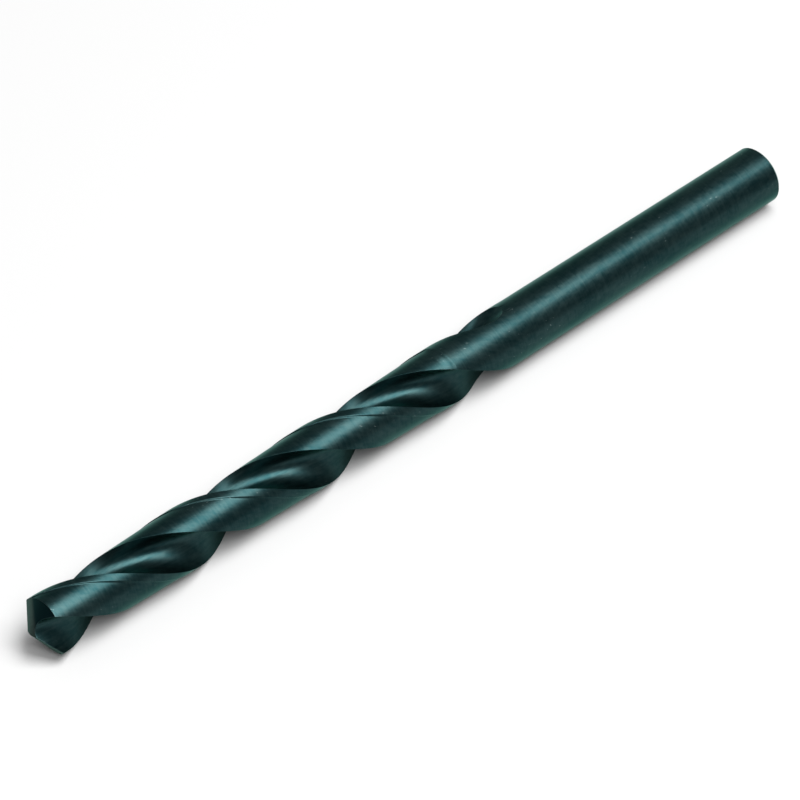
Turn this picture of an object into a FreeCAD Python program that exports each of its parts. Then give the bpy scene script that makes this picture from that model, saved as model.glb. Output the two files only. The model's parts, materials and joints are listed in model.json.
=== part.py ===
# Twist drill bit: one solid piece of hardened steel, two flutes, right-hand cut.
#
# The drill is worked out in its own axes first: the chisel edge of the tip is at z = 0 and the
# shank runs up the z axis. At the end the body is laid on its side, the tip towards -X, so
# that the shank and the margins rest on z = 0 below the middle of the drill.
#
# Angles in a cross-section are measured from the leading corner of the first land. The land
# lies at positive angles, up to its heel, and the flute that clears its edge at negative ones.

import FreeCAD, Part

import os
from math import acos, asin, ceil, cos, pi, radians, sin, sqrt, tan

import Sketcher

Vector = FreeCAD.Vector
Rotation = FreeCAD.Rotation
Placement = FreeCAD.Placement

# Driving dimensions, in millimetres and degrees
SIZES = {
    # the cutting diameter, over the margins; the shank is ground a little thinner
    "diameter": 7.0,
    "shank_diameter": 6.95,
    "overall_length": 109.0,
    "flute_length": 69.0,
    # the short taper to the shank: how far behind the flutes it starts, and its length
    "shank_taper_start": 0.8,
    "shank_taper": 1.0,
    "shank_chamfer": 0.3,
    # one full turn of the flutes
    "helix_lead": 37.6,
    # steel left between the flutes, at the tip and where the flutes start to run out
    "web_at_point": 1.12,
    "web_at_run_out": 1.84,
    # the share of the circle that a land takes at the tip, from leading corner to heel
    "land_angle": 90.5,
    # how far the heel wall of the flute leans in under the heel
    "heel_wall_lean": 15.0,
    # the arc on which the flute cutter leaves the steel
    "run_out_radius": 9.0,
    # the margin: its width round the circle, and the step down to the cleared land
    "margin_width": 1.0,
    "margin_step": 0.09,
    # how far the cleared land lies below the full diameter at its heel
    "heel_clearance": 0.26,
    # how far before the end of the flutes the cleared land starts to fade, and over how long
    "uncleared_length": 11.0,
    "clearance_fade": 1.6,
    "point_angle": 118.0,
    # the cone that grinds a flank: its apex stands off the axis of the drill, across and ahead
    # of the lip, and the cone leans, which relieves the lip and turns the chisel edge
    "cone_across": 0.72,
    "cone_ahead": 0.54,
    "cone_lean": 3.4,
    # how the drill happens to lie: the turn of the first leading corner at the tip
    "resting_turn": 12.4,
}

# Distance that the cutting tools start ahead of the steel and reach outside it
OVERRUN = 1.2
# Longest step between two cross-sections of a helical cut
SECTION_STEP = 3.4
# Steps between cross-sections where the flute cutter leaves the steel and where the cleared
# land fades
RUN_OUT_STEPS = 6
FADE_STEPS = 4
# Points on the wall in front of a lip, and how much closer they stand towards the web
LIP_WALL_POINTS = 6
CROWDING = 1.7
# How far past the heel the land is cleared, in degrees
PAST_HEEL = 9
# How far the clearing tool rises over its fade, as a share of the clearance at the heel
FADE_RISE = 1.4

doc = FreeCAD.newDocument("twist_drill_bit")
sheet = doc.addObject("Spreadsheet::Sheet", "Sizes")
for row, (name, size) in enumerate(SIZES.items(), start=1):
    sheet.set(f"A{row}", name)
    sheet.set(f"B{row}", str(size))
    sheet.setAlias(f"B{row}", name)
doc.recompute()

radius = sheet.diameter / 2
half_web = sheet.web_at_point / 2
half_point = radians(sheet.point_angle / 2)
land = radians(sheet.land_angle)
flute_opening = pi - land
heel_wall = radians(sheet.heel_wall_lean) - flute_opening

body = doc.addObject("PartDesign::Body", "twist_drill")
body.Label = "twist_drill"


def polar(distance, angle):
    return Vector(distance * cos(angle), distance * sin(angle), 0)


def origin_feature(role):
    return next(feature for feature in body.Origin.OriginFeatures if feature.Role == role)


def new_sketch(name, plane):
    sketch = body.newObject("Sketcher::SketchObject", name)
    sketch.AttachmentSupport = [(origin_feature(plane), "")]
    sketch.MapMode = "FlatFace"
    return sketch


def helix_sketch(name, height):
    """A cross-section of the drill at a height, turned with the helix."""
    sketch = new_sketch(name, "XY_Plane")
    sketch.AttachmentOffset = Placement(Vector(0, 0, height), Rotation(Vector(0, 0, 1), 1))
    sketch.setExpression(
        ".AttachmentOffset.Rotation.Angle", f"360 deg * ({height}) / Sizes.helix_lead"
    )
    return sketch


def add_outline(sketch, pieces):
    for piece in pieces:
        sketch.addGeometry(piece, False)


def close_outline(sketch, corners):
    """Straight sides from corner to corner and back to the first, joined at their ends."""
    add_outline(sketch, [Part.LineSegment(a, b) for a, b in zip(corners, corners[1:] + corners[:1])])
    for side in range(len(corners)):
        following = (side + 1) % len(corners)
        sketch.addConstraint(Sketcher.Constraint("Coincident", side, 2, following, 1))


def bind(sketch, kind, *where, to):
    """A measured constraint that follows the sheet."""
    number = sketch.addConstraint(Sketcher.Constraint(kind, *where, 1.0))
    sketch.renameConstraint(number, f"size_{number}")
    sketch.setExpression(f"Constraints.size_{number}", to)


def cut(kind, name, **settings):
    """Add a feature that removes steel, and stop if it removes none."""
    before = body.Tip.Shape.Volume
    feature = body.newObject(kind, name)
    for key, value in settings.items():
        setattr(feature, key, value)
    body.Tip = feature
    doc.recompute()
    if feature.Shape.isNull() or feature.Shape.Volume > before - 0.01:
        raise RuntimeError(f"{name} cuts nothing")
    return feature


def repeat_half_a_turn(name, feature):
    cut(
        "PartDesign::PolarPattern",
        name,
        Originals=[feature],
        Axis=(origin_feature("Z_Axis"), [""]),
        Angle=360,
        Occurrences=2,
    )


def even_steps(start, end):
    count = ceil((end - start) / SECTION_STEP)
    return [start + (end - start) * step / count for step in range(count + 1)]


# The ground rod that the drill is cut from. Its thinner shank starts on a short taper, just
# behind the flutes. It is left long at the tip, where the point is ground last, and its shank
# end is chamfered.
rod_profile = new_sketch("rod_profile", "XZ_Plane")
front, back = -OVERRUN / 2, sheet.overall_length
shank_radius = sheet.shank_diameter / 2
shank_start = sheet.flute_length + sheet.shank_taper_start
close_outline(
    rod_profile,
    [
        Vector(0, front),
        Vector(radius, front),
        Vector(radius, shank_start),
        Vector(shank_radius, shank_start + sheet.shank_taper),
        Vector(shank_radius, back),
        Vector(0, back),
    ],
)
sides = {0: "Horizontal", 1: "Vertical", 3: "Vertical", 4: "Horizontal", 5: "Vertical"}
for side, direction in sides.items():
    rod_profile.addConstraint(Sketcher.Constraint(direction, side))
rod_profile.addConstraint(Sketcher.Constraint("PointOnObject", 0, 1, -2))
rod_profile.addConstraint(Sketcher.Constraint("DistanceY", 0, 1, -1, 1, -front))
bind(rod_profile, "DistanceX", 0, 1, 0, 2, to="Sizes.diameter / 2")
bind(rod_profile, "DistanceX", 5, 1, 4, 1, to="Sizes.shank_diameter / 2")
bind(rod_profile, "DistanceY", -1, 1, 2, 1, to="Sizes.flute_length + Sizes.shank_taper_start")
bind(rod_profile, "DistanceY", 2, 1, 3, 1, to="Sizes.shank_taper")
bind(rod_profile, "DistanceY", -1, 1, 4, 1, to="Sizes.overall_length")

rod = body.newObject("PartDesign::Revolution", "rod")
rod.Profile = rod_profile
rod.ReferenceAxis = (rod_profile, ["V_Axis"])
rod.Angle = 360
doc.recompute()
end_rim = next(
    f"Edge{number}"
    for number, edge in enumerate(rod.Shape.Edges, start=1)
    if edge.Closed and abs(edge.CenterOfMass.z - back) < 0.001
)
shank_end = cut("PartDesign::Chamfer", "shank_end", Base=(rod, [end_rim]), Size=sheet.shank_chamfer)
shank_end.setExpression("Size", "Sizes.shank_chamfer")


# The flutes. The wall in front of a lip has the one shape that makes the ground lip straight:
# a point of the lip nearer the axis lies further forward, so the helix has turned it less.
helix_slope = pi * sheet.diameter / sheet.helix_lead


def lip_wall_angle(distance):
    """Angle of the lip's wall at a distance from the axis, before the corner is set to zero."""
    along = sqrt(max(distance**2 - half_web**2, 0))
    return -asin(min(half_web / distance, 1)) - along * helix_slope / tan(half_point) / radius


def lip_wall_points():
    """Points from the leading corner in to the web, closer together where the wall hooks."""
    points = []
    for number in range(LIP_WALL_POINTS):
        share = 1 - number / (LIP_WALL_POINTS - 1)
        distance = half_web + (radius - half_web) * share**CROWDING
        points.append(polar(distance, lip_wall_angle(distance) - lip_wall_angle(radius)))
    return points


# Where the lip's wall touches the web, the round bottom of the flute starts, and it runs
# into the flat heel wall. Its radius follows from touching both.
web_angle = -pi / 2 - lip_wall_angle(radius)
heel = polar(radius, -flute_opening)
wall_normal = polar(1, heel_wall - pi / 2)
facing = polar(1, web_angle).dot(wall_normal)
bottom_radius = (heel.dot(wall_normal) - half_web * facing) / (1 + facing)
bottom_centre = polar(half_web + bottom_radius, web_angle)
bottom_end = bottom_centre + wall_normal * bottom_radius
bottom_middle = bottom_centre + polar(bottom_radius, (web_angle - pi + heel_wall - pi / 2) / 2)


def flute_section(name, height, shift):
    """The cutter's outline at one height, moved outwards by a shift."""
    wall = [point + shift for point in lip_wall_points()]
    spline = Part.BSplineCurve()
    spline.interpolate(wall)
    outer_heel = heel + polar(OVERRUN, heel_wall) + shift
    outer_lip = polar(radius + OVERRUN, 0) + shift
    outer_middle = polar(radius + 2 * OVERRUN, -flute_opening / 2) + shift
    sketch = helix_sketch(name, height)
    add_outline(
        sketch,
        [
            spline,
            Part.Arc(wall[-1], bottom_middle + shift, bottom_end + shift),
            Part.LineSegment(bottom_end + shift, outer_heel),
            Part.Arc(outer_heel, outer_middle, outer_lip),
            Part.LineSegment(outer_lip, wall[0]),
        ],
    )
    return sketch


# The cutter rises a little all the way, which thickens the web towards the shank, and leaves
# along the heel wall on an arc at the end.
web_rise = (sheet.web_at_run_out - sheet.web_at_point) / 2
rise_direction = polar(1, -flute_opening / 2)
exit_direction = polar(1, heel_wall)
web_point = polar(half_web, web_angle) + rise_direction * web_rise
inward = web_point.dot(exit_direction)
exit_depth = sqrt(inward**2 + radius**2 - web_point.Length**2) - inward
exit_turn = acos(1 - exit_depth / sheet.run_out_radius)
run_out_start = sheet.flute_length - sheet.run_out_radius * sin(exit_turn)
last_turn = acos(1 - (exit_depth + OVERRUN / 3) / sheet.run_out_radius)

flute_sections = []
for height in even_steps(-OVERRUN, run_out_start):
    shift = rise_direction * web_rise * height / run_out_start
    flute_sections.append(flute_section(f"flute_section_{len(flute_sections)}", height, shift))
for step in range(1, RUN_OUT_STEPS + 1):
    turn = last_turn * step / RUN_OUT_STEPS
    height = run_out_start + sheet.run_out_radius * sin(turn)
    lift = exit_direction * sheet.run_out_radius * (1 - cos(turn))
    shift = rise_direction * web_rise * height / run_out_start + lift
    flute_sections.append(flute_section(f"flute_section_{len(flute_sections)}", height, shift))
flute = cut(
    "PartDesign::SubtractiveLoft", "flute", Profile=flute_sections[0], Sections=flute_sections[1:]
)
repeat_half_a_turn("flutes", flute)


# The cleared land. Behind the margin the land steps down and then falls away to the heel, so
# that only the margins touch the wall of the hole.
clearance_end = sheet.flute_length - sheet.uncleared_length
margin_angle = sheet.margin_width / radius
past_heel = land + radians(PAST_HEEL)


def cleared_radius(angle):
    share = (angle - margin_angle) / (land - margin_angle)
    return radius - sheet.margin_step - (sheet.heel_clearance - sheet.margin_step) * share


def clearance_section(name, height, lift):
    """A crescent from the margin to just past the heel."""
    middle = (margin_angle + past_heel) / 2
    outside = radius + OVERRUN + lift
    inner = [polar(cleared_radius(angle) + lift, angle) for angle in (margin_angle, middle, past_heel)]
    outer = [polar(outside, angle) for angle in (past_heel, middle, margin_angle)]
    sketch = helix_sketch(name, height)
    add_outline(
        sketch,
        [
            Part.Arc(*inner),
            Part.LineSegment(inner[-1], outer[0]),
            Part.Arc(*outer),
            Part.LineSegment(outer[-1], inner[0]),
        ],
    )
    return sketch


clearance_sections = []
for height in even_steps(-OVERRUN, clearance_end):
    name = f"clearance_section_{len(clearance_sections)}"
    clearance_sections.append(clearance_section(name, height, 0))
for step in range(1, FADE_STEPS + 1):
    share = step / FADE_STEPS
    name = f"clearance_section_{len(clearance_sections)}"
    height = clearance_end + sheet.clearance_fade * share
    lift = FADE_RISE * sheet.heel_clearance * share**2
    clearance_sections.append(clearance_section(name, height, lift))
clearance = cut(
    "PartDesign::SubtractiveLoft",
    "clearance",
    Profile=clearance_sections[0],
    Sections=clearance_sections[1:],
)
repeat_half_a_turn("clearances", clearance)


# The point. Each flank is ground on a cone, and where the two cones meet is the chisel edge.
lean = radians(sheet.cone_lean)


def cone_height(along, ahead):
    """Height above the apex of the leaning cone, over a place beside its apex."""
    a = cos(lean)
    b = ahead * sin(lean)
    squared = cos(half_point) ** 2
    spread = along**2 + ahead**2
    root = sqrt((a * b) ** 2 - (a**2 - squared) * (b**2 - squared * spread))
    return (a * b + root) / (a**2 - squared)


chisel_height = cone_height(sheet.cone_across, sheet.cone_ahead)
lip_length = sqrt(radius**2 - half_web**2)
corner_height = cone_height(lip_length + sheet.cone_across, sheet.cone_ahead - half_web) - chisel_height
lip_angle = 2 * pi * corner_height / sheet.helix_lead + asin(half_web / radius)

along_lip = polar(1, lip_angle)
behind_lip = polar(1, lip_angle + pi / 2)
cone_axis = Vector(0, 0, cos(lean)) - behind_lip * sin(lean)
apex = along_lip * -sheet.cone_across - behind_lip * sheet.cone_ahead - Vector(0, 0, chisel_height)

cone_profile = new_sketch("cone_profile", "XY_Plane")
cone_profile.AttachmentOffset = Placement(
    apex, Rotation(along_lip, cone_axis, along_lip.cross(cone_axis), "XYZ")
)
reach = sheet.diameter
close_outline(
    cone_profile,
    [
        Vector(0, 0),
        Vector(reach, reach / tan(half_point)),
        Vector(reach, -reach / 2),
        Vector(0, -reach / 2),
    ],
)
cone_profile.addConstraint(Sketcher.Constraint("Coincident", 0, 1, -1, 1))
cone_profile.addConstraint(Sketcher.Constraint("Vertical", 1))
cone_profile.addConstraint(Sketcher.Constraint("Horizontal", 2))
cone_profile.addConstraint(Sketcher.Constraint("Vertical", 3))
bind(cone_profile, "DistanceX", -1, 1, 0, 2, to="Sizes.diameter")
bind(cone_profile, "DistanceY", -1, 1, 0, 2, to="Sizes.diameter / tan(Sizes.point_angle / 2 * 1 deg)")
bind(cone_profile, "DistanceY", 3, 1, -1, 1, to="Sizes.diameter / 2")
flank = cut(
    "PartDesign::Groove",
    "flank",
    Profile=cone_profile,
    ReferenceAxis=(cone_profile, ["V_Axis"]),
    Angle=360,
)
repeat_half_a_turn("flanks", flank)


# The drill lies on its side, turned the way it happens to rest.
on_its_side = Rotation(Vector(1, 0, 0), sheet.resting_turn) * Rotation(Vector(1, 1, 1), 120)
body.Placement = Placement(Vector(-sheet.overall_length / 2, 0, radius), on_its_side)
body.setExpression(".Placement.Base.x", "-Sizes.overall_length / 2")
body.setExpression(".Placement.Base.z", "Sizes.diameter / 2")
doc.recompute()

for item in doc.Objects:
    if "Invalid" in item.State or "Error" in item.State:
        raise RuntimeError(f"{item.Name} is {item.State}")
if body.Shape.isNull() or not body.Shape.isValid() or len(body.Shape.Solids) != 1:
    raise RuntimeError("twist_drill is not one valid solid")

os.makedirs("parts", exist_ok=True)
body.Shape.exportStep(f"parts/{body.Label}.step")
box = body.Shape.optimalBoundingBox()
print(f"{body.Label}: {box.XLength:.2f} x {box.YLength:.2f} x {box.ZLength:.2f} mm")
print(f"volume {body.Shape.Volume:.1f} mm3, {len(body.Shape.Faces)} faces")
print(f"lip corner {corner_height:.2f} mm behind the chisel edge, flute bottom radius {bottom_radius:.2f} mm")
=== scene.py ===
# %% [markdown]
# # A twist drill bit, dressed in Blender
#
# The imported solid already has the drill's real size and place. This lesson makes a finer mesh of
# the same form, with the tiny rounding that real edges have, and gives it the black oxide finish
# of the real drill. The scene is in metres, in the frame of the solid. The drill itself is worked
# out in millimetres, as on a workshop drawing, and scaled when it is laid down.

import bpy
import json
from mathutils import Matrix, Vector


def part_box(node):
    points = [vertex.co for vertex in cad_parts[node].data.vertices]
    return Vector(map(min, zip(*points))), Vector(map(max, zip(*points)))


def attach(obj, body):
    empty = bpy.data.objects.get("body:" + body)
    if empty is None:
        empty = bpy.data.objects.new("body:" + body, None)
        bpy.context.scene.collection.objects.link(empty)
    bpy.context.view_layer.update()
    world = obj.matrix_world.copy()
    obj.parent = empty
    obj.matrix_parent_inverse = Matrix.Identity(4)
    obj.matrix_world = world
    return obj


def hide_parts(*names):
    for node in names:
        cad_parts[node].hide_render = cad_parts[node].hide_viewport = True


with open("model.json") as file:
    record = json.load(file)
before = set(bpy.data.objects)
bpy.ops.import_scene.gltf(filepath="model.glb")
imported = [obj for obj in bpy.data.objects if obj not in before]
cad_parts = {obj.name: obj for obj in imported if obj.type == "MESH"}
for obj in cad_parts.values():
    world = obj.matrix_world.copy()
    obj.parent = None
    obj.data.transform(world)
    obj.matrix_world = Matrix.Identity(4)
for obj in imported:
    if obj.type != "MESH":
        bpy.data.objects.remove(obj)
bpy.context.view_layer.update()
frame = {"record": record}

# %% Tools for the lesson
import json
from math import acos, asin, cos, pi, radians, sin, sqrt, tan

import bpy
import numpy as np
from mathutils import Matrix, Vector
from mathutils.kdtree import KDTree


def add_object(name, data):
    """Puts a mesh, a light or a camera into the scene."""
    made = bpy.data.objects.new(name, data)
    bpy.context.scene.collection.objects.link(made)
    return made


# %% [markdown]
# ## The sizes
#
# A drill is worked out in its own axes first: the chisel edge of the tip is at height 0 and the
# shank runs up the z axis. The overall length, the cutting radius and the shank's radius come
# from the frame. The others are those that a drill grinder would set.

# %% Driving sizes, in millimetres
MM = 0.001
low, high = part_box("twist_drill")
length = (high.x - low.x) / MM
radius = (high.z - low.z) / 2 / MM
mounts = {mount["name"]: mount for mount in frame["record"]["mounts"]}
shank_radius = mounts["shank"]["dims"]["r_mm"]

FLUTE_LENGTH = 69.0
HELIX_LEAD = 37.6
# half the steel between the flutes at the tip, and how much that grows to the run-out
HALF_WEB = 0.56
WEB_RISE = 0.36
RUN_OUT_RADIUS = 9.0
# the share of the circle that a land takes, and how far the wall under its heel leans in
LAND_ANGLE = radians(90.5)
HEEL_WALL_LEAN = radians(15)
# the margin, the step down behind it, and the cleared land as far as its heel
MARGIN_WIDTH = 1.0
MARGIN_STEP = 0.09
MARGIN_STEP_WIDTH = 0.07
HEEL_CLEARANCE = 0.26
# where the cleared land starts to fade before the flutes' end, over how long and how steeply
UNCLEARED_LENGTH = 11.0
CLEARANCE_FADE = 1.6
FADE_RISE = 1.4
# the point, and the leaning cones that grind its flanks
HALF_POINT = radians(59)
CONE_ACROSS = 0.72
CONE_AHEAD = 0.54
CONE_LEAN = radians(3.4)
# the short taper to the shank, behind the flutes, and the chamfer at the shank's end
SHANK_TAPER_START = 0.8
SHANK_TAPER = 1.0
SHANK_CHAMFER = 0.3
# how the drill happens to lie
RESTING_TURN = radians(12.4)
print(f"drill: {length:.2f} mm long, radius {radius:.3f} mm, shank radius {shank_radius:.3f} mm")

# %% [markdown]
# ## The cutter that makes a flute
#
# Seen from the end, a flute has a flat wall under the heel of one land, a round bottom that
# touches the web, and the wall in front of the next lip. That last wall has the one shape that
# makes the ground lip straight. A polyline could be drawn by hand, but a formula gives the same
# wall for any web and point angle, so the outline is worked out and sampled closely.
#
# Angles in a section start at the leading corner of the first land. The land lies at positive
# angles and the flute before it at negative ones.

# %% The wall in front of a lip
opening = pi - LAND_ANGLE
heel_wall = HEEL_WALL_LEAN - opening
helix_slope = 2 * pi * radius / HELIX_LEAD


def polar(distance, angle):
    return np.stack([distance * np.cos(angle), distance * np.sin(angle)], -1)


def lip_wall_angle(distance):
    """Angle of the wall in front of a lip, at a distance from the drill's axis."""
    along = np.sqrt(np.maximum(distance**2 - HALF_WEB**2, 0))
    return -np.arcsin(HALF_WEB / distance) - along * helix_slope / tan(HALF_POINT) / radius


corner = lip_wall_angle(radius)
web_angle = -pi / 2 - corner
print(f"the wall touches the web {-web_angle * 180 / pi:.0f} degrees round from the leading corner")

# %% The whole outline of a flute
OUTLINE_SAMPLES = 1200
CROWDING = 1.7


def flute_outline():
    """Points from outside the heel, round the bottom of the flute, to outside the lip."""
    normal = polar(1, heel_wall - pi / 2)
    facing = polar(1, web_angle) @ normal
    heel = polar(radius, -opening)
    bottom_radius = (heel @ normal - HALF_WEB * facing) / (1 + facing)
    centre = polar(HALF_WEB + bottom_radius, web_angle)
    turns = np.linspace(heel_wall - pi / 2, web_angle - pi, OUTLINE_SAMPLES)
    bottom = centre + polar(bottom_radius, turns)
    distance = HALF_WEB + (radius - HALF_WEB) * np.linspace(0, 1, OUTLINE_SAMPLES) ** CROWDING
    wall = polar(distance, lip_wall_angle(distance) - corner)
    outside_heel = heel + polar(radius, heel_wall)
    outside_lip = wall[-1] + (wall[-1] - wall[-2]) / np.linalg.norm(wall[-1] - wall[-2]) * radius
    points = np.concatenate([[outside_heel], bottom, wall[1:], [outside_lip]])
    travel = np.append(0, np.cumsum(np.linalg.norm(np.diff(points, axis=0), axis=1)))
    even = np.linspace(0, travel[-1], 4 * OUTLINE_SAMPLES)
    return np.stack([np.interp(even, travel, axis) for axis in points.T], -1)


outline = flute_outline()
depth = np.linalg.norm(outline, axis=1).min()
print(f"flute outline: {len(outline)} points, the web is {2 * depth:.2f} mm thick at the tip")

# %% [markdown]
# ## How the outline moves along the drill
#
# The cutter rises a little all the way, which thickens the web towards the shank, and at the end
# it leaves the steel on a large arc. That makes the pointed leaf at the start of the shank.

# %% The cutter's path
rise_direction = polar(1, -opening / 2)
exit_direction = polar(1, heel_wall)
web_point = polar(HALF_WEB, web_angle) + rise_direction * WEB_RISE
inward = web_point @ exit_direction
exit_depth = sqrt(inward**2 + radius**2 - web_point @ web_point) - inward
exit_travel = RUN_OUT_RADIUS * sin(acos(1 - exit_depth / RUN_OUT_RADIUS))
run_out_start = FLUTE_LENGTH - exit_travel


def cutter_shift(height):
    """How far the cutter has moved out of the drill at a height."""
    shift = rise_direction * WEB_RISE * height / run_out_start
    if height > run_out_start:
        turn_sine = (height - run_out_start) / RUN_OUT_RADIUS
        shift = shift + exit_direction * RUN_OUT_RADIUS * (1 - sqrt(1 - turn_sine**2))
    return shift


print(f"the cutter starts to leave {exit_travel:.1f} mm before the end of the flutes")

# %% [markdown]
# ## The rod and its lands
#
# Outside the flutes the section is round: a narrow margin at the full radius, then a step down to
# the cleared land, which falls away to its heel. Both are functions of the height and of the
# angle behind the leading corner, so that any ring of the mesh can ask for them.

# %% Radius of the rod and of a land
clearance_end = FLUTE_LENGTH - UNCLEARED_LENGTH
margin_angle = MARGIN_WIDTH / radius
step_angle = MARGIN_STEP_WIDTH / radius
taper_start = FLUTE_LENGTH + SHANK_TAPER_START
taper_end = taper_start + SHANK_TAPER
chamfer_start = length - SHANK_CHAMFER
end_radius = shank_radius - SHANK_CHAMFER


def rod_radius(height):
    stations = [taper_start, taper_end, chamfer_start, length]
    return np.interp(height, stations, [radius, shank_radius, shank_radius, end_radius])


def land_radius(angle, height):
    """Radius of the land at an angle behind its leading corner."""
    share = (angle - margin_angle) / (LAND_ANGLE - margin_angle)
    cleared = radius - MARGIN_STEP - (HEEL_CLEARANCE - MARGIN_STEP) * share
    fade = max(height - clearance_end, 0) / CLEARANCE_FADE
    cleared = cleared + FADE_RISE * HEEL_CLEARANCE * fade**2
    down = np.clip((angle - margin_angle) / step_angle, 0, 1)
    down = down * down * (3 - 2 * down)
    rod = rod_radius(height)
    return rod + (np.minimum(cleared, rod) - rod) * down


print(f"the heel lies {radius - land_radius(LAND_ANGLE, 0):.2f} mm below the margin")

# %% Where the outline meets the rod


def crossings(height):
    """Places along the outline where it meets the land behind it and the margin in front."""
    points = outline + cutter_shift(height)
    distance = np.linalg.norm(points, axis=1)
    angle = np.arctan2(points[:, 1], points[:, 0])
    bound = np.where(angle < -opening / 2, land_radius(angle + pi, height), rod_radius(height))
    depth = bound - distance
    inside = np.flatnonzero(depth > 0)
    if len(inside) < 2:
        return None
    first, last = inside[0], inside[-1]
    start = first - depth[first] / (depth[first] - depth[first - 1])
    end = last + depth[last] / (depth[last] - depth[last + 1])
    return start, end


def on_outline(place, height):
    """Points of the shifted outline at places along it."""
    steps = np.arange(len(outline))
    points = np.stack([np.interp(place, steps, axis) for axis in outline.T], -1)
    return points + cutter_shift(height)


print("at the tip the flute meets the rod at places", [round(place) for place in crossings(0)])

# %% Where the flutes end
HALVINGS = 40
SEARCHED_BEYOND = 2

cutting, clear = run_out_start, run_out_start + exit_travel + SEARCHED_BEYOND
for _ in range(HALVINGS):
    middle = (cutting + clear) / 2
    if crossings(middle):
        cutting = middle
    else:
        clear = middle
flute_end = cutting
print(f"the cutter starts to leave at {run_out_start:.1f} mm and is out at {flute_end:.2f} mm")

# %% [markdown]
# ## The ground point
#
# Each flank is part of a cone whose apex stands off the drill's axis. The steel that is left
# lies behind both cones, so the tip's surface is the higher of two cone heights, and the chisel
# edge is where they are equal.

# %% A grinding cone


def cone_height(along, ahead):
    """Height above the apex of the leaning cone, over a place beside the apex."""
    a = cos(CONE_LEAN)
    b = ahead * sin(CONE_LEAN)
    squared = cos(HALF_POINT) ** 2
    spread = along**2 + ahead**2
    root = np.sqrt((a * b) ** 2 - (a**2 - squared) * (b**2 - squared * spread))
    return (a * b + root) / (a**2 - squared)


chisel_height = cone_height(CONE_ACROSS, CONE_AHEAD)
lip_length = sqrt(radius**2 - HALF_WEB**2)
corner_height = cone_height(lip_length + CONE_ACROSS, CONE_AHEAD - HALF_WEB) - chisel_height
lip_angle = 2 * pi * corner_height / HELIX_LEAD + asin(HALF_WEB / radius)
along_lip, behind_lip = polar(1, lip_angle), polar(1, lip_angle + pi / 2)
print(f"the lips' outer corners lie {corner_height:.2f} mm behind the chisel edge")

# %% The two flanks as heights, and the twist


def flank_height(points, side):
    """Height of a flank over points of the section. Side 1 is the first land's, -1 the other's."""
    points = points * side
    return cone_height(points @ along_lip + CONE_ACROSS, points @ behind_lip + CONE_AHEAD) - chisel_height


def tip_height(points):
    return np.maximum(flank_height(points, 1), flank_height(points, -1))


def twisted(points, height):
    """Points of the section, turned with the helix to where they are at a height."""
    turn = 2 * pi * np.asarray(height) / HELIX_LEAD
    x, y = points[..., 0], points[..., 1]
    return np.stack([x * np.cos(turn) - y * np.sin(turn), x * np.sin(turn) + y * np.cos(turn)], -1)


print(f"from the tip to the run-out the flutes turn {run_out_start / HELIX_LEAD:.2f} times")

# %% [markdown]
# ## Rings of the same outline
#
# A boolean of a rod and two twisted cutters would give the same form, but its triangles are long
# and uneven, and their shading shows it. Here every ring has the same number of points, each
# with its own job: so many across a flute, so many across a land. Joined from ring to ring they
# give even quads that follow the helix, and an edge of the drill is always a line of the mesh.

# %% How the points of a ring are shared out
FLUTE_HALF = 22
FLUTE_STEPS = 2 * FLUTE_HALF
MARGIN_STEPS, STEP_STEPS, CLEARED_STEPS = 7, 4, 31
LAND_STEPS = MARGIN_STEPS + STEP_STEPS + CLEARED_STEPS


def eased(count, ends=0.35):
    """Fractions from 0 to 1, closer together at both ends."""
    even = np.linspace(0, 1, count + 1)
    return even * (1 - ends) + (1 - np.cos(pi * even)) / 2 * ends


print(f"half a ring has {FLUTE_STEPS + LAND_STEPS} points")

# %% Where a flute passes the end of the chisel edge
CORNER_SAMPLES = 4000
CORNER_ROUNDS = 20


def find_chisel_corner():
    """The place along the flute's outline where the two flanks are equally high."""
    start, end = crossings(0)
    places = np.linspace(start, end, CORNER_SAMPLES)
    points = on_outline(places, 0)
    height = np.zeros(len(points))
    for _ in range(CORNER_ROUNDS):
        height = tip_height(twisted(points, height))
    placed = twisted(points, height)
    higher = flank_height(placed, 1) - flank_height(placed, -1)
    near_web = np.linalg.norm(points, axis=1) < 3 * HALF_WEB
    change = np.flatnonzero((np.diff(np.sign(higher)) != 0) & near_web[1:])
    return (places[change[0]] - start) / (end - start), len(change)


corner_share, corner_count = find_chisel_corner()
before_corner = corner_share * eased(FLUTE_HALF)[:-1]
behind_corner = corner_share + (1 - corner_share) * eased(FLUTE_HALF)
flute_shares = np.append(before_corner, behind_corner)
print(f"chisel corner at {corner_share:.3f} of the flute, {corner_count} found")

# %% A ring
SETTLE_LENGTH = 2.0


def half_ring(height):
    """Points from the heel before a flute, through the flute, and over the land behind it."""
    start, end = crossings(height)
    flute = on_outline(start + (end - start) * flute_shares, height)
    lip = np.arctan2(flute[-1, 1], flute[-1, 0])
    heel = np.arctan2(flute[0, 1], flute[0, 0]) + pi
    # past the cleared land there is no margin, so its points settle to even places
    settle = np.clip((height - clearance_end - CLEARANCE_FADE) / SETTLE_LENGTH, 0, 1)
    share = margin_angle / LAND_ANGLE
    share_after = (margin_angle + step_angle) / LAND_ANGLE
    step_start = margin_angle + (lip + share * (heel - lip) - margin_angle) * settle
    step_end = margin_angle + step_angle
    step_end = step_end + (lip + share_after * (heel - lip) - step_end) * settle
    angles = np.concatenate(
        [
            lip + (step_start - lip) * eased(MARGIN_STEPS)[1:],
            np.linspace(step_start, step_end, STEP_STEPS + 1)[1:],
            step_end + (heel - step_end) * eased(CLEARED_STEPS, ends=0.2)[1:-1],
        ]
    )
    land = polar(land_radius(angles, height), angles)
    return np.concatenate([flute, land])


def whole_ring(height):
    half = half_ring(height)
    return np.concatenate([half, -half])


ring_size = len(whole_ring(0))
half_size = ring_size // 2
print(f"{ring_size} points in a ring")

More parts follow.
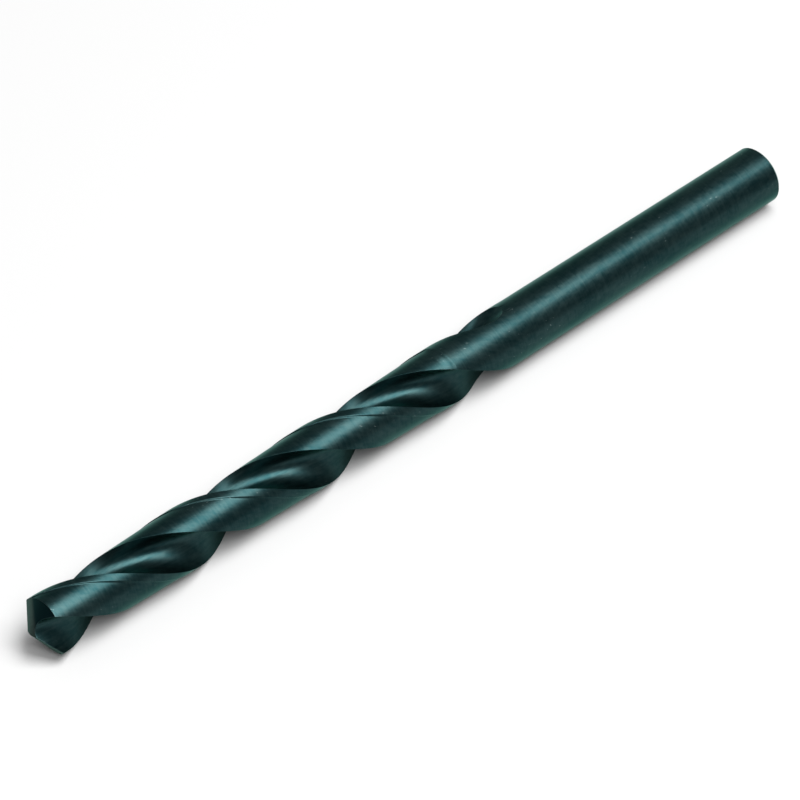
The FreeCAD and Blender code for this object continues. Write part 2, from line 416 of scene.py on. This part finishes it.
# %% [markdown]
# ## Heights of the rings
#
# The first rings follow the slanting surface of the point: each point starts where its own line
# meets a flank. Further on the rings are level, and they lie closer where the form changes
# quickly, at the end of the cleared lands and where the flutes run out.

# %% Rings at the point
TIP_JOIN = 4.0
TIP_RINGS = 12
TIP_CROWDING = 1.2
TIP_ROUNDS = 40


def tip_rings():
    """Rings from the ground surface of the point up to a level one."""
    near, far = whole_ring(0), whole_ring(TIP_JOIN)
    start = np.zeros(ring_size)
    # each round moves the points nearer to the place where their own line meets a flank
    for _ in range(TIP_ROUNDS):
        section = near + (far - near) * (start / TIP_JOIN)[:, None]
        start = tip_height(twisted(section, start))
    rings = []
    for share in np.linspace(0, 1, TIP_RINGS + 1) ** TIP_CROWDING:
        heights = start + (TIP_JOIN - start) * share
        section = near + (far - near) * (heights / TIP_JOIN)[:, None]
        rings.append(np.column_stack([twisted(section, heights), heights]))
    return rings


fluted = tip_rings()
print(f"{len(fluted)} rings at the point")

# %% Level rings
RING_STEP = 0.27
RUN_OUT_RINGS = 43


def level_heights():
    """Heights of the level rings along the flutes."""
    fade_end = clearance_end + CLEARANCE_FADE
    spans = [
        (TIP_JOIN, clearance_end, RING_STEP),
        (clearance_end, fade_end, RING_STEP / 3),
        (fade_end, run_out_start, RING_STEP),
    ]
    heights = [np.linspace(a, b, int(np.ceil((b - a) / step)) + 1)[1:] for a, b, step in spans]
    leaving = 1 - (1 - np.linspace(0, 1, RUN_OUT_RINGS + 2)[1:-1]) ** 2
    heights.append(run_out_start + (flute_end - run_out_start) * leaving)
    return np.concatenate(heights)


def level_ring(height):
    return np.column_stack([twisted(whole_ring(height), height), np.full(ring_size, height)])


fluted += [level_ring(height) for height in level_heights()]
print(f"{len(fluted)} rings along the flutes")

# %% [markdown]
# ## The rounded rim of the point
#
# No ground edge is perfectly sharp, and the thin bright line that it catches is much of what
# makes steel look real. A Bevel modifier rounds long straight edges well, but where the lines of
# a mesh meet an edge at a slant, as they do round the point, it leaves tiny scallops. So the
# rim's rounding is worked out: each point of the rim becomes a short curve from the flank over
# the old corner to the flute or land.

# %% Onto the chisel edge
EDGE_ROUNDING = 0.024
CHISEL_ROUNDS = 12
CHISEL_TRIAL = 1e-4


def onto_chisel(points, across):
    """Moves points along a direction to where the two flanks are equally high."""

    def difference(offset):
        placed = points + across * offset[:, None]
        return flank_height(placed, 1) - flank_height(placed, -1)

    offset = np.zeros(len(points))
    for _ in range(CHISEL_ROUNDS):
        rise = difference(offset + CHISEL_TRIAL) - difference(offset - CHISEL_TRIAL)
        offset -= difference(offset) / (rise / (2 * CHISEL_TRIAL))
    return points + across * offset[:, None]


print(f"edges are rounded by {EDGE_ROUNDING} mm")

# %% Rounding the rim
RIM_STEPS = 3


def rounded_rim(rim, following):
    """Rings from the flank over the rim to the flutes and lands."""
    tangent = np.roll(rim, -1, axis=0) - np.roll(rim, 1, axis=0)
    inwards = np.column_stack([-tangent[:, 1], tangent[:, 0]])
    # the step behind the margin is only a few times wider than the rounding, so over the lands
    # the curves run straight at the axis, where they can't cross
    on_land = np.arange(ring_size) % half_size > FLUTE_STEPS
    inwards[on_land] = -rim[on_land, :2]
    inwards /= np.linalg.norm(inwards, axis=1)[:, None]
    on_flank = rim[:, :2] + EDGE_ROUNDING * inwards
    # at its two ends the chisel edge itself gives the direction
    ends = [FLUTE_HALF, half_size + FLUTE_HALF]
    chisel_line = rim[ends[1], :2] - rim[ends[0], :2]
    chisel_line /= np.linalg.norm(chisel_line)
    steps = np.array([[EDGE_ROUNDING], [-EDGE_ROUNDING]]) * chisel_line
    across = np.array([-chisel_line[1], chisel_line[0]])
    on_flank[ends] = onto_chisel(rim[ends, :2] + steps, across)
    start = np.column_stack([on_flank, tip_height(on_flank)])
    onwards = following - rim
    end = rim + EDGE_ROUNDING * onwards / np.linalg.norm(onwards, axis=1)[:, None]
    shares = np.linspace(0, 1, RIM_STEPS + 1)
    return [(1 - t) ** 2 * start + 2 * t * (1 - t) * rim + t**2 * end for t in shares]


fluted = rounded_rim(fluted[0], fluted[1]) + fluted[1:]
print(f"the rim is rounded in {RIM_STEPS} steps; {len(fluted)} rings in all")

# %% [markdown]
# ## From rings to a closed mesh
#
# The rings join into a sleeve of quads. Where a flute has run out, its points close in one, and
# the round shank goes on with the points of the lands.

# %% The sleeve
vertices, faces, creases = [], [], {}


def add_ring(points):
    """Adds a ring of points and returns their numbers."""
    first = len(vertices)
    vertices.extend(map(tuple, points))
    return list(range(first, first + len(points)))


def join(ring, following):
    """Quads from one ring to the next, all the way round."""
    count = len(ring)
    for place in range(count):
        beside = (place + 1) % count
        faces.append((ring[place], ring[beside], following[beside], following[place]))


sleeve = [add_ring(points) for points in fluted]
for ring, following in zip(sleeve, sleeve[1:]):
    join(ring, following)
print(f"sleeve: {len(vertices)} points, {len(faces)} faces")

# %% The shank
SHANK_RINGS = 34
FIRST_SHANK_RING = 2.5
LAST_SHANK_RING = 0.6
RING_AT_CHAMFER = 0.2

closing = twisted(whole_ring(flute_end), flute_end)
kept = [column for column in range(ring_size) if not 0 < column % half_size <= FLUTE_STEPS]
directions = closing[kept] / np.linalg.norm(closing[kept], axis=1)[:, None]
along_shank = np.linspace(FLUTE_LENGTH + FIRST_SHANK_RING, chamfer_start - LAST_SHANK_RING, SHANK_RINGS)
at_end = [chamfer_start - RING_AT_CHAMFER, chamfer_start, length]
shank_heights = np.concatenate([[flute_end, taper_start, taper_end], along_shank, at_end])


def round_ring(ring_radius, height):
    """A ring over the kept columns, at one radius and height."""
    return add_ring(np.column_stack([directions * ring_radius, np.full(len(kept), height)]))


shank = [round_ring(rod_radius(height), height) for height in shank_heights]
for ring, following in zip(shank, shank[1:]):
    join(ring, following)
print(f"shank: {len(shank)} rings of {len(kept)} points")

# %% Where the flutes close
where = dict(zip(kept, shank[0]))
last = sleeve[-1]
for column in range(ring_size):
    beside = (column + 1) % ring_size
    above = where.get(column, where[column - column % half_size])
    above_beside = where.get(beside, where[beside - beside % half_size])
    corners = [last[column], last[beside], above_beside, above]
    faces.append(tuple(dict.fromkeys(corners)))
print(f"{ring_size} faces join the flutes to the shank")

# %% The shank's end
END_RINGS = (0.94, 0.62, 0.31)

end_rings = [shank[-1]]
end_rings += [round_ring(end_radius * share, length) for share in END_RINGS]
for ring, following in zip(end_rings, end_rings[1:]):
    join(ring, following)
(centre,) = add_ring([(0, 0, length)])
for place, number in enumerate(end_rings[-1]):
    faces.append((number, end_rings[-1][(place + 1) % len(kept)], centre))
print(f"sleeve and shank: {len(vertices)} points, {len(faces)} faces")

# %% [markdown]
# ## The two flanks
#
# The flanks close the front. A fan of triangles would do for a flat face, but a flank is a cone
# and its shading would show the fan. Each is a four-sided patch between its lip, the land, the
# heel's side and the chisel edge, and blending the four sides gives quads that line up with all
# of them.

# %% The chisel edge
first_ring = np.array([vertices[number] for number in sleeve[0]])


def chisel_edge():
    """Points inside the web where the two flanks are equally high, from lip's end to lip's end."""
    a, b = first_ring[FLUTE_HALF, :2], first_ring[half_size + FLUTE_HALF, :2]
    straight = a + (b - a) * np.linspace(0, 1, LAND_STEPS + 1)[1:-1, None]
    points = onto_chisel(straight, np.array([a[1] - b[1], b[0] - a[0]]) / np.linalg.norm(b - a))
    return add_ring(np.column_stack([points, tip_height(points)]))


chisel_rows = [sleeve[0][FLUTE_HALF], *chisel_edge(), sleeve[0][half_size + FLUTE_HALF]]
chisel_ends = [Vector(vertices[chisel_rows[end]]) for end in (0, -1)]
print(f"the chisel edge is {(chisel_ends[0] - chisel_ends[1]).length:.2f} mm long")

# %% A flank


def flank(side, chisel_row):
    """The ground face behind a lip, from the chisel edge out to the land."""
    start = side * half_size
    lip = [sleeve[0][start + FLUTE_HALF + step] for step in range(FLUTE_HALF + 1)]
    heel_start = (1 - side) * half_size
    heel = [sleeve[0][heel_start + FLUTE_HALF - step] for step in range(FLUTE_HALF + 1)]
    land = [sleeve[0][(start + FLUTE_STEPS + step) % ring_size] for step in range(LAND_STEPS + 1)]
    place = np.array([vertex[:2] for vertex in vertices])
    u = np.linspace(0, 1, LAND_STEPS + 1)[:, None]
    near = (1 - u) * place[lip[0]] + u * place[heel[0]]
    far = (1 - u) * place[lip[-1]] + u * place[heel[-1]]
    rows = [chisel_row]
    for step in range(1, FLUTE_HALF):
        v = step / FLUTE_HALF
        along = (1 - v) * place[chisel_row] + v * place[land]
        aside = (1 - u) * place[lip[step]] + u * place[heel[step]]
        points = (along + aside - (1 - v) * near - v * far)[1:-1]
        inner = add_ring(np.column_stack([points, tip_height(points)]))
        rows.append([lip[step], *inner, heel[step]])
    rows.append(land)
    for row, following in zip(rows, rows[1:]):
        for step in range(LAND_STEPS):
            faces.append((row[step], following[step], following[step + 1], row[step + 1]))
    return rows


def folded_faces(rows):
    """How many quads of a patch are turned over, seen along the drill's axis."""
    grid = np.array([[vertices[number][:2] for number in row] for row in rows])
    first = grid[1:, 1:] - grid[:-1, :-1]
    second = grid[1:, :-1] - grid[:-1, 1:]
    area = first[..., 0] * second[..., 1] - first[..., 1] * second[..., 0]
    return int(min((area > 0).sum(), (area < 0).sum()))


patches = [flank(0, chisel_rows), flank(1, chisel_rows[::-1])]
print("folded quads in the flanks:", [folded_faces(rows) for rows in patches])

# %% [markdown]
# ## The other rounded edges
#
# The long edges of the flutes, the chisel edge and the chamfer at the shank's end are lines that
# the mesh crosses squarely, so here a Bevel modifier does well, limited to the edges that have a
# weight. The weight fades where a flute runs out, because the edge fades there too.

# %% Edges that get a bevel
CHISEL_WEIGHT = 0.6
# the widths of the flute, as shares of that at the tip, between which the weight fades
FULL_WEIGHT, NO_WEIGHT = 0.65, 0.25


def crease(a, b, weight):
    """Marks an edge that gets a rounding, as wide as its weight says."""
    creases[frozenset((a, b))] = weight


def long_edge_weight(height):
    """Weight of a flute's edges at a height."""
    if height >= flute_end:
        return 0.0
    start, end = crossings(height)
    first, last = crossings(0)
    share = (end - start) / (last - first)
    return float(np.clip((share - NO_WEIGHT) / (FULL_WEIGHT - NO_WEIGHT), 0, 1))


for a, b in zip(chisel_rows, chisel_rows[1:]):
    crease(a, b, CHISEL_WEIGHT)
for ring, following in zip(sleeve[RIM_STEPS:], sleeve[RIM_STEPS + 1 :]):
    weight = long_edge_weight(vertices[following[0]][2])
    for column in (0, FLUTE_STEPS, half_size, half_size + FLUTE_STEPS):
        crease(ring[column], following[column], weight)
for ring in (shank[-1], shank[-2]):
    for place in range(len(ring)):
        crease(ring[place], ring[(place + 1) % len(ring)], 1.0)
print(f"{len(creases)} edges get a bevel of up to {EDGE_ROUNDING} mm")

# %% The mesh and its bevel
BEVEL_SEGMENTS = 3


def drill_object():
    """The drill in millimetres, in its own axes, with the bevel applied."""
    mesh = bpy.data.meshes.new("ground_drill")
    mesh.from_pydata(vertices, [], faces)
    weights = mesh.attributes.new("bevel_weight_edge", "FLOAT", "EDGE")
    for edge in mesh.edges:
        weights.data[edge.index].value = creases.get(frozenset(edge.vertices), 0.0)
    mesh.shade_smooth()
    drill = add_object("ground_drill", mesh)
    bevel = drill.modifiers.new("edge_rounding", "BEVEL")
    bevel.limit_method = "WEIGHT"
    bevel.width = EDGE_ROUNDING
    bevel.segments = BEVEL_SEGMENTS
    bevel.use_clamp_overlap = False
    bevel.harden_normals = True
    evaluated = drill.evaluated_get(bpy.context.evaluated_depsgraph_get())
    rounded = bpy.data.meshes.new_from_object(evaluated)
    drill.modifiers.clear()
    drill.data = rounded
    return drill


drill = drill_object()
count = len(drill.data.vertices)
print(f"rounded drill: {count} points, {len(drill.data.polygons)} faces")

# %% [markdown]
# ## What the finish needs to know
#
# Grinding leaves lines along the flutes, round the shank and in arcs over the flanks, and the
# black film wears first along the edges. Noise in plain coordinates can't follow a helix, so
# each point of the mesh gets its place on a drill that is unwound, and a few masks: how deep it
# lies in a flute, whether it is on a ground flank, and how near it is to an edge.

# %% Where each point lies
spot = np.empty(count * 3)
drill.data.vertices.foreach_get("co", spot)
spot = spot.reshape(-1, 3)
section, height = spot[:, :2], spot[:, 2]
distance = np.hypot(section[:, 0], section[:, 1])
unwound = twisted(section, -np.minimum(height, flute_end))
side = np.where(flank_height(section, 1) >= flank_height(section, -1), 1, -1)[:, None]
beside_lip = section * side @ np.column_stack([along_lip, behind_lip])
print(f"the farthest point is {distance.max():.3f} mm from the axis")

# %% On a flank, or in a flute
ON_CONE = 0.002
MID_LAND = 1.0
MASK_DEPTH = 0.1
MASK_END = 0.3

on_cone = height - tip_height(section) < ON_CONE
flank_faces = np.array([all(on_cone[list(face.vertices)]) for face in drill.data.polygons], dtype=float)
flute_depth = np.clip((land_radius(MID_LAND, 0) - MASK_DEPTH - distance) / radius, 0, 1)
flute_depth *= height < flute_end + MASK_END
print(f"{int(flank_faces.sum())} faces on the flanks, {int((flute_depth > 0).sum())} points in the flutes")

# %% How near the edges are
EDGE_REACH = 0.06
SHARP_WEIGHT = 0.3


def distance_to_edges(pairs):
    """How far each point of the mesh is from the nearest of some edges."""
    tree = KDTree(2 * len(pairs))
    for number, (a, b) in enumerate(pairs):
        for share in (0.25, 0.75):
            tree.insert(Vector(vertices[a]).lerp(Vector(vertices[b]), share), number)
    tree.balance()
    return np.array([tree.find(point)[2] for point in spot])


rim = sleeve[RIM_STEPS // 2]
sharp_edges = [tuple(pair) for pair, weight in creases.items() if weight > SHARP_WEIGHT]
sharp_edges += zip(rim, rim[1:] + rim[:1])
near_edge = np.exp(-((distance_to_edges(sharp_edges) / EDGE_REACH) ** 2))
print(f"{len(sharp_edges)} edges can wear")

# %% Attributes on the mesh


def keep_attribute(name, values, domain="POINT"):
    kind = "FLOAT_VECTOR" if np.ndim(values) == 2 else "FLOAT"
    attribute = drill.data.attributes.new(name, kind, domain)
    attribute.data.foreach_set("vector" if kind == "FLOAT_VECTOR" else "value", np.ravel(values))


keep_attribute("unwound", np.column_stack([unwound, height]))
keep_attribute("turned", np.column_stack([unwound, height - distance]))
keep_attribute("beside_lip", np.column_stack([beside_lip, height]))
keep_attribute("behind_lip", beside_lip[:, 1] + HALF_WEB)
keep_attribute("flute_depth", flute_depth)
keep_attribute("flank", flank_faces, "FACE")
keep_attribute("near_edge", near_edge)
print("attributes:", [kept_one.name for kept_one in drill.data.attributes if "." not in kept_one.name])

# %% [markdown]
# ## Laying the drill down
#
# The mesh goes from the drill's own axes to the place of the solid: on its side, with the tip
# towards -X, turned the way it rests, and touching the surface below its middle. The object stays
# at the origin, and its place is in its mesh. It rides on the only body and stands for the solid.

# %% On its side
laid_down = (
    Matrix.Translation((low.x, 0, radius * MM))
    @ Matrix.Rotation(RESTING_TURN, 4, "X")
    @ Matrix.Rotation(radians(120), 4, Vector((1, 1, 1)))
    @ Matrix.Scale(MM, 4)
)
drill.data.transform(laid_down)
drill.data.update()
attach(drill, "root")
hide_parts("twist_drill")
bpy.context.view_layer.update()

# %% [markdown]
# ## Shader maths that reads like maths
#
# A material is a graph of nodes, and building one by hand hides what it computes. This small
# class wraps a socket, so that an expression such as `1 - mask * 0.4` adds the Math nodes that
# it stands for. Any other node comes from one method, which takes the node's type, its settings
# and its inputs. Colours are mixed by a Mix node, because a Math node would turn them grey.

# %% A socket that knows arithmetic


class Wire:
    def __init__(self, tree, socket):
        self.tree, self.socket = tree, socket

    def node(self, kind, settings=None, output=0, **inputs):
        """Adds a node and returns one of its outputs. An input goes by its name, or i and its number."""
        made = self.tree.nodes.new(kind)
        for name, value in (settings or {}).items():
            setattr(made, name, value)
        for name, value in inputs.items():
            key = int(name[1:]) if name[1:].isdigit() else name.replace("_", " ")
            plug(self.tree, made.inputs[key], value)
        return Wire(self.tree, made.outputs[output])

    def maths(self, operation, first, second=0.0):
        return self.node("ShaderNodeMath", {"operation": operation}, i0=first, i1=second)

    def __add__(self, other):
        return self.maths("ADD", self, other)

    __radd__ = __add__

    def __sub__(self, other):
        return self.maths("SUBTRACT", self, other)

    def __rsub__(self, other):
        return self.maths("SUBTRACT", other, self)

    def __mul__(self, other):
        return self.maths("MULTIPLY", self, other)

    __rmul__ = __mul__

    def __pow__(self, other):
        return self.maths("POWER", self, other)

    def between(self, low_value, high_value):
        """A smooth step from 0 at the low value to 1 at the high one."""
        settings = {"interpolation_type": "SMOOTHSTEP"}
        return self.node("ShaderNodeMapRange", settings, i0=self, i1=low_value, i2=high_value)

    def mix(self, first, second):
        """A colour between two, by this wire as the factor."""
        settings = {"data_type": "RGBA"}
        return self.node("ShaderNodeMix", settings, output=2, i0=self, i6=first, i7=second)

    def scaled(self, x, y, z):
        """A vector with its parts multiplied one by one."""
        return self.node("ShaderNodeVectorMath", {"operation": "MULTIPLY"}, i0=self, i1=(x, y, z))

    def noise(self, detail=3.0, roughness=0.5):
        """Noise between 0 and 1 at this vector."""
        return self.node("ShaderNodeTexNoise", Vector=self, Scale=1.0, Detail=detail, Roughness=roughness)


# %% Materials, sockets and attributes


def plug(tree, socket, value):
    """Links a wire to a socket, or sets the socket's own value."""
    if isinstance(value, Wire):
        tree.links.new(value.socket, socket)
    else:
        socket.default_value = value


def colour(red, green, blue):
    return (red, green, blue, 1.0)


def new_material(name, **constants):
    """A material with a Principled shader, whose constants are set on its own sockets."""
    material = bpy.data.materials.new(name)
    material.use_nodes = True
    shader = material.node_tree.nodes["Principled BSDF"]
    for socket, value in constants.items():
        shader.inputs[socket.replace("_", " ")].default_value = value
    return material, shader


def attribute(tree, name, output="Fac"):
    """A number kept on the mesh, or with the output Vector a place."""
    node = tree.nodes.new("ShaderNodeAttribute")
    node.attribute_name = name
    return Wire(tree, node.outputs[output])


# %% [markdown]
# ## The black oxide finish
#
# Steam turns the surface of the steel into a thin film of black iron oxide, with a cold green
# cast where light rakes over it. A dark plastic under a clear coat would be black too, but its
# highlights would be white. On the real drill the ground steel shows in the shine, so this is a
# metal with a very dark colour, and its grazing tint gives the pale green of the drill's rims.

# %% The material and its masks
GRAZING_TINT = colour(0.64, 0.92, 0.84)
FLUTE_MASK_FULL = 0.08
EDGE_SHARPNESS = 3.0
# behind a lip the flank gets a painted sheen as far as this, and painted shade past it, with a soft change
LIP_BAND, BAND_BLUR = 1.25, 0.35

oxide, shader = new_material("black_oxide", Metallic=1.0, Specular_Tint=GRAZING_TINT)
tree = oxide.node_tree
on_helix = attribute(tree, "unwound", "Vector")
on_lathe = attribute(tree, "turned", "Vector")
on_grinder = attribute(tree, "beside_lip", "Vector")
in_flute = attribute(tree, "flute_depth").between(0.0, FLUTE_MASK_FULL)
on_flank = attribute(tree, "flank")
at_edge = attribute(tree, "near_edge") ** EDGE_SHARPNESS
# the band behind each lip where the flank gets its painted sheen
painted_sheen_band = attribute(tree, "behind_lip").between(LIP_BAND + BAND_BLUR, LIP_BAND - BAND_BLUR)
print("places and masks:", len(tree.nodes), "nodes")

# %% [markdown]
# ## Patterns in the film
#
# Each pattern is noise at a place of the unwound drill, stretched by three numbers: waves per
# millimetre twice across the drill and once along it. A small number along the drill draws the
# noise out into lines that follow the flutes. A large one gives the rings of the lathe.

# %% Lines, clouds and marks
clouds = on_helix.scaled(0.5, 0.5, 0.16).noise(detail=4)
mottle = on_helix.scaled(2.0, 2.0, 1.2).noise(detail=5, roughness=0.6)
grain = on_helix.scaled(7, 7, 7).noise(detail=3, roughness=0.6)
along_flutes = on_helix.scaled(3.2, 3.2, 0.13).noise(detail=6, roughness=0.7)
round_rod = on_lathe.scaled(0.4, 0.4, 4.5).noise(detail=6, roughness=0.75)
over_flank = on_grinder.scaled(9, 0.8, 0.8).noise(detail=5, roughness=0.7)
lines = ((1 - in_flute) * round_rod + in_flute * along_flutes) * (1 - on_flank) + over_flank * on_flank

# specks and scratches are the rare peaks of a noise, and only where another noise is high too
specks = on_helix.scaled(3.4, 3.4, 2.0).noise(detail=1).between(0.72, 0.78) * clouds.between(0.50, 0.58)
long_peaks = on_helix.scaled(5, 5, 0.5).noise(detail=2).between(0.70, 0.75)
scratches = long_peaks * mottle.between(0.50, 0.62)
marks = (specks + scratches * 0.5) * (1 - in_flute)
print("with the patterns:", len(tree.nodes), "nodes")

# %% [markdown]
# ## Colour, roughness and relief
#
# The film is thicker in some places and thinner in others, between two dark tones. The flanks are
# ground last, and their colour is painted light and shade: a painted sheen in a band behind each lip
# and painted shade past it. Bare steel shows only where an edge is worn and in a few marks. Roughness
# and relief use the same lines, so that colour and shine agree.

# %% The colour
DEEP_OXIDE = colour(0.0065, 0.0250, 0.0280)
THIN_OXIDE = colour(0.0260, 0.0510, 0.0520)
BARE_STEEL = colour(0.15, 0.20, 0.20)
# the flank's two tones are painted light and shade: a painted sheen and painted shade
FLANK_PAINTED_SHEEN = colour(0.042, 0.062, 0.056)
FLANK_PAINTED_SHADE = colour(0.0035, 0.0130, 0.0150)
WEAR = 0.45
MARK_STRENGTH = 0.5

thin = clouds * 0.45 + lines * 0.55 + (mottle - 0.5) * 0.5
film = thin.between(0.25, 0.75).mix(DEEP_OXIDE, THIN_OXIDE)
# the flank's colour: a painted sheen in the band behind each lip, painted shade past it
painted_flank_light = (painted_sheen_band * (0.4 + over_flank)).mix(FLANK_PAINTED_SHADE, FLANK_PAINTED_SHEEN)
worn = at_edge * (mottle + grain * 0.5).between(0.55, 0.95)
finish = (worn * WEAR + marks * MARK_STRENGTH).mix(on_flank.mix(film, painted_flank_light), BARE_STEEL)
plug(tree, shader.inputs["Base Color"], finish)
print("with the colour:", len(tree.nodes), "nodes")

# %% Roughness and relief
SHINIEST = 0.24
RELIEF_STRENGTH = 0.4
RELIEF_DEPTH = 0.00002

plug(tree, shader.inputs["Roughness"], SHINIEST + lines * 0.13 + mottle * 0.08 + on_flank * 0.04)
relief = lines * 0.7 + grain * 0.2 + mottle * 0.25 - marks * 0.3
bump = relief.node("ShaderNodeBump", Strength=RELIEF_STRENGTH, Distance=RELIEF_DEPTH, Height=relief)
plug(tree, shader.inputs["Normal"], bump)

drill.data.materials.clear()
drill.data.materials.append(oxide)
print("finish:", oxide.name, len(tree.nodes), "nodes")

# %% [markdown]
# ## Floor, light and camera
#
# The drill lies on a plain pale floor under soft studio light. The camera stands where the
# photograph's was: far off with a long lens, which keeps the drill's sides almost parallel.

# %% The floor
FLOOR_SIZE = 6.0


def pale_floor():
    half = FLOOR_SIZE / 2
    corners = [(-half, -half, 0), (half, -half, 0), (half, half, 0), (-half, half, 0)]
    mesh = bpy.data.meshes.new("floor")
    mesh.from_pydata(corners, [], [(0, 1, 2, 3)])
    material, _ = new_material("pale_floor", Base_Color=colour(0.55, 0.55, 0.55), Roughness=0.9)
    mesh.materials.append(material)
    floor = add_object("floor", mesh)


pale_floor()
print(f"floor: {FLOOR_SIZE} m square")

# %% Soft light
WORLD_STRENGTH = 0.37


def direction_to(azimuth, elevation):
    """Direction from the drill, in degrees. Azimuth 0 is -Y, and it grows towards +X."""
    azimuth, elevation = radians(azimuth), radians(elevation)
    level = cos(elevation)
    return Vector((sin(azimuth) * level, -cos(azimuth) * level, sin(elevation)))


def soft_box(name, azimuth, elevation, distance, size, power):
    """A square area light that faces the middle of the drill."""
    direction = direction_to(azimuth, elevation)
    light = bpy.data.lights.new(name, "AREA")
    light.shape = "RECTANGLE"
    light.size, light.size_y = size, size
    light.energy = power
    box = add_object(name, light)
    box.location = direction * distance
    box.rotation_euler = direction.to_track_quat("Z", "Y").to_euler()


world = bpy.data.worlds.new("studio")
world.use_nodes = True
world.node_tree.nodes["Background"].inputs["Color"].default_value = colour(1, 1, 1)
world.node_tree.nodes["Background"].inputs["Strength"].default_value = WORLD_STRENGTH
bpy.context.scene.world = world
soft_box("key_light", azimuth=40, elevation=70, distance=0.9, size=0.62, power=12.5)
soft_box("side_light", azimuth=-25, elevation=52, distance=0.9, size=0.3, power=2.5)
bpy.context.scene.view_settings.view_transform = "Standard"
print("lights:", [light.name for light in bpy.data.lights])

# %% The camera
CAMERA_AZIMUTH = -42.1
CAMERA_ELEVATION = 44.57
CAMERA_DISTANCE = 0.6146
LOOK_AT = Vector((-0.0015, 0.0001, 0.0036))
FOCAL_LENGTH = 249.3
SENSOR_WIDTH = 36.0

lens = bpy.data.cameras.new("camera")
lens.sensor_width = SENSOR_WIDTH
lens.sensor_fit = "HORIZONTAL"
lens.lens = FOCAL_LENGTH
camera = add_object("camera", lens)
towards_camera = direction_to(CAMERA_AZIMUTH, CAMERA_ELEVATION)
camera.location = LOOK_AT + towards_camera * CAMERA_DISTANCE
camera.rotation_euler = towards_camera.to_track_quat("Z", "Y").to_euler()
bpy.context.scene.camera = camera
print("camera at", [round(x, 4) for x in camera.location])
